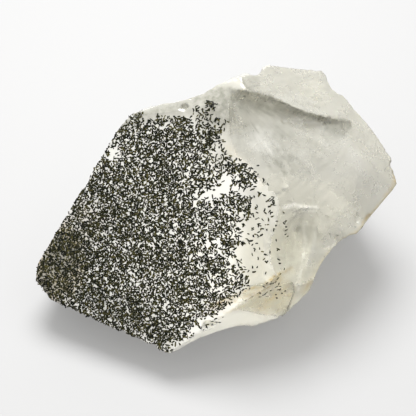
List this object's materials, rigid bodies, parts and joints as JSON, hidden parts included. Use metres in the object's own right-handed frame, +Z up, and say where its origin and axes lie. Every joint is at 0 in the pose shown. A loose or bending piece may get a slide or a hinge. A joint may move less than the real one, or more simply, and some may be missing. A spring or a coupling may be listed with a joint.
{
  "type": "quartz crystal",
  "caption": "Hand-sized quartz crystal lying on its side, with one grown face over dark mineral blades and a broken end with shell-shaped fractures.",
  "frame": {"origin": "centre of the bounding box at table level", "axes": "+X along the crystal from the speckled end to the broken end, +Y away from the viewer, +Z up"},
  "size_m": [0.0802, 0.0596, 0.0467],
  "materials": {
    "quartz": "clear to milky quartz, glossy grown faces, satin fractures, dark mineral blades inside"
  },
  "bodies": {
    "root": {"quartz_crystal": "quartz"}
  },
  "joints": []
}
